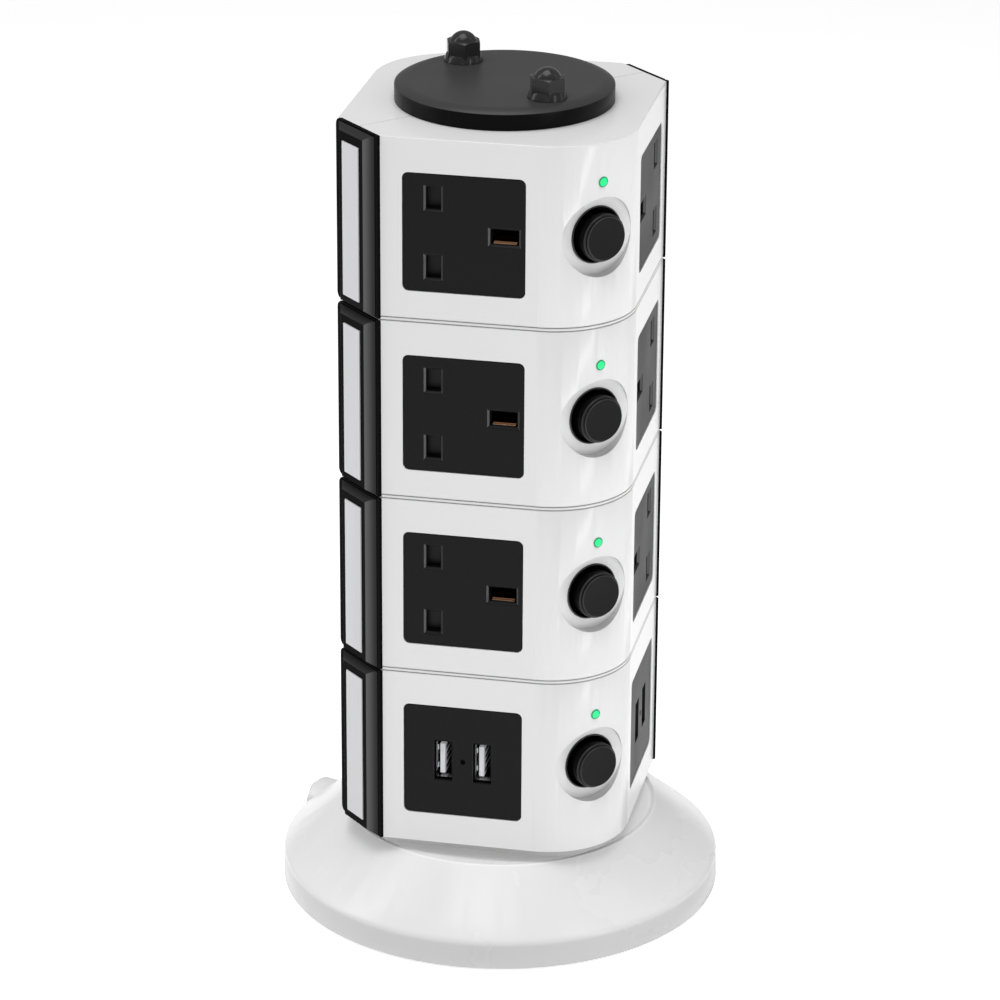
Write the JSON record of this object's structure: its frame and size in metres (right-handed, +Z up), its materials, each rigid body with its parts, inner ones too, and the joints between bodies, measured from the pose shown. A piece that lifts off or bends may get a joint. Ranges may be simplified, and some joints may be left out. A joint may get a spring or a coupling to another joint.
{
  "type": "tower power strip",
  "caption": "Tall four-tier tower power strip on a round swivel base, with shuttered outlets, USB ports, push switches and black end covers.",
  "frame": {"origin": "centre of the round base on the surface that it stands on", "axes": "+Z up the tower; socket faces look along -Y, +X, +Y and -X; the push buttons are on the corner towards +X -Y"},
  "size_m": [0.1442, 0.1442, 0.2844],
  "materials": {
    "casing_white": "satin moulded white ABS with a fine texture",
    "base_white": "satin moulded white ABS",
    "face_plate_black": "matt black flame-retardant polycarbonate",
    "end_cover_black": "semi-gloss black ABS",
    "insert_grey": "satin light grey plastic strip",
    "button_black": "satin black plastic cap",
    "bezel_black": "gloss black plastic ring",
    "shutter_black": "matt black plastic",
    "lens_green": "translucent green lens, lit",
    "inner_black": "matt black plastic",
    "contact_copper": "bare copper alloy strip",
    "usb_metal": "nickel plated steel sheet",
    "usb_tongue_white": "white moulded tongue",
    "board_green": "solder-masked circuit board",
    "top_plate_black": "satin black plastic",
    "steel": "zinc plated steel",
    "nut_black": "semi-gloss black coated steel",
    "base_plate_grey": "matt grey plastic",
    "rubber_black": "matt black rubber"
  },
  "bodies": {
    "base": {"base_cover": "base_white", "base_bottom_plate": "base_plate_grey", "rubber_feet": "rubber_black", "base_screws": "steel", "cord_outlet_bush": "rubber_black"},
    "tower": {"tier_1_front_shell": "casing_white", "tier_1_rear_shell": "casing_white", "tier_1_face_plates": "face_plate_black", "tier_1_end_covers": "end_cover_black", "tier_2_front_shell": "casing_white", "tier_2_rear_shell": "casing_white", "tier_2_face_plates": "face_plate_black", "tier_2_end_covers": "end_cover_black", "tier_3_front_shell": "casing_white", "tier_3_rear_shell": "casing_white", "tier_3_face_plates": "face_plate_black", "tier_3_end_covers": "end_cover_black", "tier_4_front_shell": "casing_white", "tier_4_rear_shell": "casing_white", "tier_4_face_plates": "face_plate_black", "tier_4_end_covers": "end_cover_black", "end_cover_inserts": "insert_grey", "button_bezels": "bezel_black", "indicator_lenses": "lens_green", "switch_bodies": "inner_black", "contact_carriers": "inner_black", "live_contacts": "contact_copper", "neutral_contacts": "contact_copper", "earth_contacts": "contact_copper", "live_busbar": "contact_copper", "neutral_busbar": "contact_copper", "earth_busbar": "contact_copper", "usb_shells": "usb_metal", "usb_tongues": "usb_tongue_white", "usb_boards": "board_green", "top_plate": "top_plate_black", "tie_rods": "steel", "dome_nuts": "nut_black", "lock_nuts": "steel", "tower_bottom_plate": "base_plate_grey", "turntable_hub": "inner_black", "cord_spool": "inner_black"},
    "button_1": {"button_1": "button_black"},
    "button_2": {"button_2": "button_black"},
    "button_3": {"button_3": "button_black"},
    "button_4": {"button_4": "button_black"},
    "shutter_1_back_right": {"shutter_1_back_right": "shutter_black"},
    "shutter_1_back_left": {"shutter_1_back_left": "shutter_black"},
    "shutter_2_front_left": {"shutter_2_front_left": "shutter_black"},
    "shutter_2_front_right": {"shutter_2_front_right": "shutter_black"},
    "shutter_2_back_right": {"shutter_2_back_right": "shutter_black"},
    "shutter_2_back_left": {"shutter_2_back_left": "shutter_black"},
    "shutter_3_front_left": {"shutter_3_front_left": "shutter_black"},
    "shutter_3_front_right": {"shutter_3_front_right": "shutter_black"},
    "shutter_3_back_right": {"shutter_3_back_right": "shutter_black"},
    "shutter_3_back_left": {"shutter_3_back_left": "shutter_black"},
    "shutter_4_front_left": {"shutter_4_front_left": "shutter_black"},
    "shutter_4_front_right": {"shutter_4_front_right": "shutter_black"},
    "shutter_4_back_right": {"shutter_4_back_right": "shutter_black"},
    "shutter_4_back_left": {"shutter_4_back_left": "shutter_black"}
  },
  "joints": [
    {"name": "tower_swivel", "type": "hinge", "parent": "base", "child": "tower", "pos_m": [0, 0, 0.0225], "axis": [0, 0, 1], "continuous": true},
    {"name": "button_1_press", "type": "slide", "parent": "tower", "child": "button_1", "axis": [-0.7071, 0.7071, 0], "range_m": [0, 0.003], "stiffness_N_per_m": 500, "springref_m": -0.003},
    {"name": "button_2_press", "type": "slide", "parent": "tower", "child": "button_2", "axis": [-0.7071, 0.7071, 0], "range_m": [0, 0.003], "stiffness_N_per_m": 500, "springref_m": -0.003},
    {"name": "button_3_press", "type": "slide", "parent": "tower", "child": "button_3", "axis": [-0.7071, 0.7071, 0], "range_m": [0, 0.003], "stiffness_N_per_m": 500, "springref_m": -0.003},
    {"name": "button_4_press", "type": "slide", "parent": "tower", "child": "button_4", "axis": [-0.7071, 0.7071, 0], "range_m": [0, 0.003], "stiffness_N_per_m": 500, "springref_m": -0.003},
    {"name": "shutter_1_back_right_slide", "type": "slide", "parent": "tower", "child": "shutter_1_back_right", "axis": [1, 0, 0], "range_m": [0, 0.0054], "stiffness_N_per_m": 60, "springref_m": -0.003},
    {"name": "shutter_1_back_left_slide", "type": "slide", "parent": "tower", "child": "shutter_1_back_left", "axis": [0, -1, 0], "range_m": [0, 0.0054], "stiffness_N_per_m": 60, "springref_m": -0.003},
    {"name": "shutter_2_front_left_slide", "type": "slide", "parent": "tower", "child": "shutter_2_front_left", "axis": [-1, 0, 0], "range_m": [0, 0.0054], "stiffness_N_per_m": 60, "springref_m": -0.003},
    {"name": "shutter_2_front_right_slide", "type": "slide", "parent": "tower", "child": "shutter_2_front_right", "axis": [0, 1, 0], "range_m": [0, 0.0054], "stiffness_N_per_m": 60, "springref_m": -0.003},
    {"name": "shutter_2_back_right_slide", "type": "slide", "parent": "tower", "child": "shutter_2_back_right", "axis": [1, 0, 0], "range_m": [0, 0.0054], "stiffness_N_per_m": 60, "springref_m": -0.003},
    {"name": "shutter_2_back_left_slide", "type": "slide", "parent": "tower", "child": "shutter_2_back_left", "axis": [0, -1, 0], "range_m": [0, 0.0054], "stiffness_N_per_m": 60, "springref_m": -0.003},
    {"name": "shutter_3_front_left_slide", "type": "slide", "parent": "tower", "child": "shutter_3_front_left", "axis": [-1, 0, 0], "range_m": [0, 0.0054], "stiffness_N_per_m": 60, "springref_m": -0.003},
    {"name": "shutter_3_front_right_slide", "type": "slide", "parent": "tower", "child": "shutter_3_front_right", "axis": [0, 1, 0], "range_m": [0, 0.0054], "stiffness_N_per_m": 60, "springref_m": -0.003},
    {"name": "shutter_3_back_right_slide", "type": "slide", "parent": "tower", "child": "shutter_3_back_right", "axis": [1, 0, 0], "range_m": [0, 0.0054], "stiffness_N_per_m": 60, "springref_m": -0.003},
    {"name": "shutter_3_back_left_slide", "type": "slide", "parent": "tower", "child": "shutter_3_back_left", "axis": [0, -1, 0], "range_m": [0, 0.0054], "stiffness_N_per_m": 60, "springref_m": -0.003},
    {"name": "shutter_4_front_left_slide", "type": "slide", "parent": "tower", "child": "shutter_4_front_left", "axis": [-1, 0, 0], "range_m": [0, 0.0054], "stiffness_N_per_m": 60, "springref_m": -0.003},
    {"name": "shutter_4_front_right_slide", "type": "slide", "parent": "tower", "child": "shutter_4_front_right", "axis": [0, 1, 0], "range_m": [0, 0.0054], "stiffness_N_per_m": 60, "springref_m": -0.003},
    {"name": "shutter_4_back_right_slide", "type": "slide", "parent": "tower", "child": "shutter_4_back_right", "axis": [1, 0, 0], "range_m": [0, 0.0054], "stiffness_N_per_m": 60, "springref_m": -0.003},
    {"name": "shutter_4_back_left_slide", "type": "slide", "parent": "tower", "child": "shutter_4_back_left", "axis": [0, -1, 0], "range_m": [0, 0.0054], "stiffness_N_per_m": 60, "springref_m": -0.003}
  ]
}
